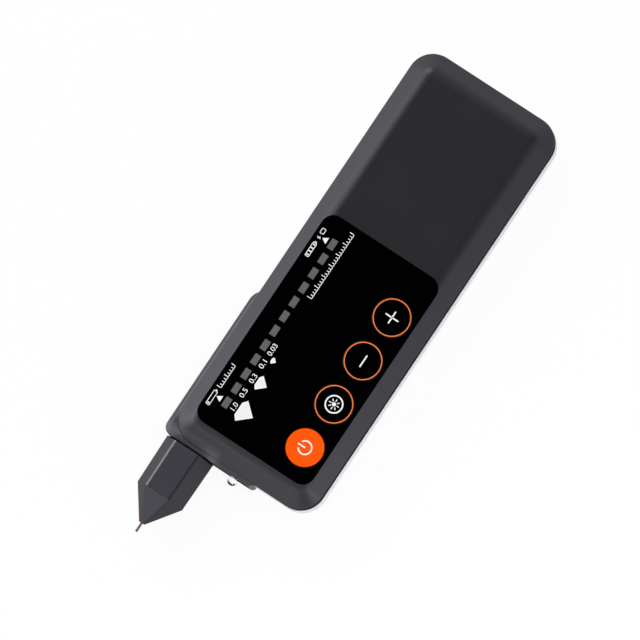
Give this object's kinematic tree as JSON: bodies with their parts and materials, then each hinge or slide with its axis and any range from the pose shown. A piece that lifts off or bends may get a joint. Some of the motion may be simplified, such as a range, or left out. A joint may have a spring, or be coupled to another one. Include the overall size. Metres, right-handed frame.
{
  "type": "diamond tester",
  "caption": "Hand-held thermal gem tester: flat two-part case with a gloss key and bar panel, side probe housing, six-sided nose with a sprung copper needle, and an inspection lamp.",
  "frame": {"origin": "centre of the case's plan, on the flat back that it rests on", "axes": "+Y along the case, away from the needle, +X across the case to the key side, +Z out of the key panel"},
  "size_m": [0.0515, 0.1681, 0.017],
  "materials": {
    "dark_shell": "satin moulded",
    "white_shell": "satin moulded",
    "gloss_black": "gloss",
    "key_black": "gloss",
    "key_orange": "gloss",
    "bar_smoke": "frosted",
    "tape": "matt",
    "board_green": "solder mask",
    "chip_black": "moulded epoxy",
    "led_cream": "diode body",
    "switch_black": "moulded",
    "passive_tan": "ceramic",
    "battery_foil": "pouch foil",
    "foam_grey": "foam",
    "wire_red": "insulation",
    "wire_black": "insulation",
    "connector_white": "moulded nylon",
    "screw_steel": "zinc plated",
    "port_steel": "drawn shell",
    "copper": "drawn copper",
    "white_insulator": "turned",
    "glass_bead": "glass bead",
    "lamp_clear": "clear epoxy",
    "touch_steel": "brushed"
  },
  "bodies": {
    "root": {"front_cover": "dark_shell", "rear_cover": "white_shell", "probe_housing": "dark_shell", "panel_overlay": "gloss_black", "panel_tape": "tape", "light_guide": "bar_smoke", "main_board": "board_green", "bar_leds": "led_cream", "controller_chip": "chip_black", "amplifier_chip": "chip_black", "buzzer": "chip_black", "board_passives": "passive_tan", "battery_cell": "battery_foil", "battery_pad": "foam_grey", "battery_lead_plus": "wire_red", "battery_lead_minus": "wire_black", "battery_plug": "connector_white", "battery_socket": "connector_white", "charge_board": "board_green", "charge_chip": "chip_black", "charge_leads": "wire_red", "charge_board_screws": "screw_steel", "usb_socket": "port_steel", "usb_tongue": "switch_black", "nose_sleeve": "dark_shell", "nose_nut": "screw_steel", "needle_spring": "screw_steel", "spring_seat": "white_insulator", "probe_leads": "wire_black", "probe_plug": "connector_white", "probe_socket": "connector_white", "inspection_lamp": "lamp_clear", "lamp_legs": "screw_steel", "case_screws": "screw_steel", "housing_screws": "screw_steel", "board_screws": "screw_steel", "touch_plate": "touch_steel", "contact_pin": "copper", "switch_power": "switch_black", "switch_lamp": "switch_black", "switch_minus": "switch_black", "switch_plus": "switch_black"},
    "power_key": {"key_power": "key_orange", "plunger_power": "switch_black"},
    "lamp_key": {"key_lamp": "key_black", "plunger_lamp": "switch_black"},
    "minus_key": {"key_minus": "key_black", "plunger_minus": "switch_black"},
    "plus_key": {"key_plus": "key_black", "plunger_plus": "switch_black"},
    "needle_carriage": {"needle": "copper", "needle_carrier": "white_insulator", "heater_bead": "white_insulator", "sensor_bead": "glass_bead"}
  },
  "joints": [
    {"name": "power_press", "type": "slide", "parent": "root", "child": "power_key", "axis": [0, 0, -1], "range_m": [0, 0.0003], "stiffness_N_per_m": 300, "springref_m": -0.0005},
    {"name": "lamp_press", "type": "slide", "parent": "root", "child": "lamp_key", "axis": [0, 0, -1], "range_m": [0, 0.0003], "stiffness_N_per_m": 300, "springref_m": -0.0005},
    {"name": "minus_press", "type": "slide", "parent": "root", "child": "minus_key", "axis": [0, 0, -1], "range_m": [0, 0.0003], "stiffness_N_per_m": 300, "springref_m": -0.0005},
    {"name": "plus_press", "type": "slide", "parent": "root", "child": "plus_key", "axis": [0, 0, -1], "range_m": [0, 0.0003], "stiffness_N_per_m": 300, "springref_m": -0.0005},
    {"name": "needle_slide", "type": "slide", "parent": "root", "child": "needle_carriage", "axis": [0, 1, 0], "range_m": [0, 0.001], "stiffness_N_per_m": 200, "springref_m": -0.002, "deforming": ["needle_spring"]}
  ]
}
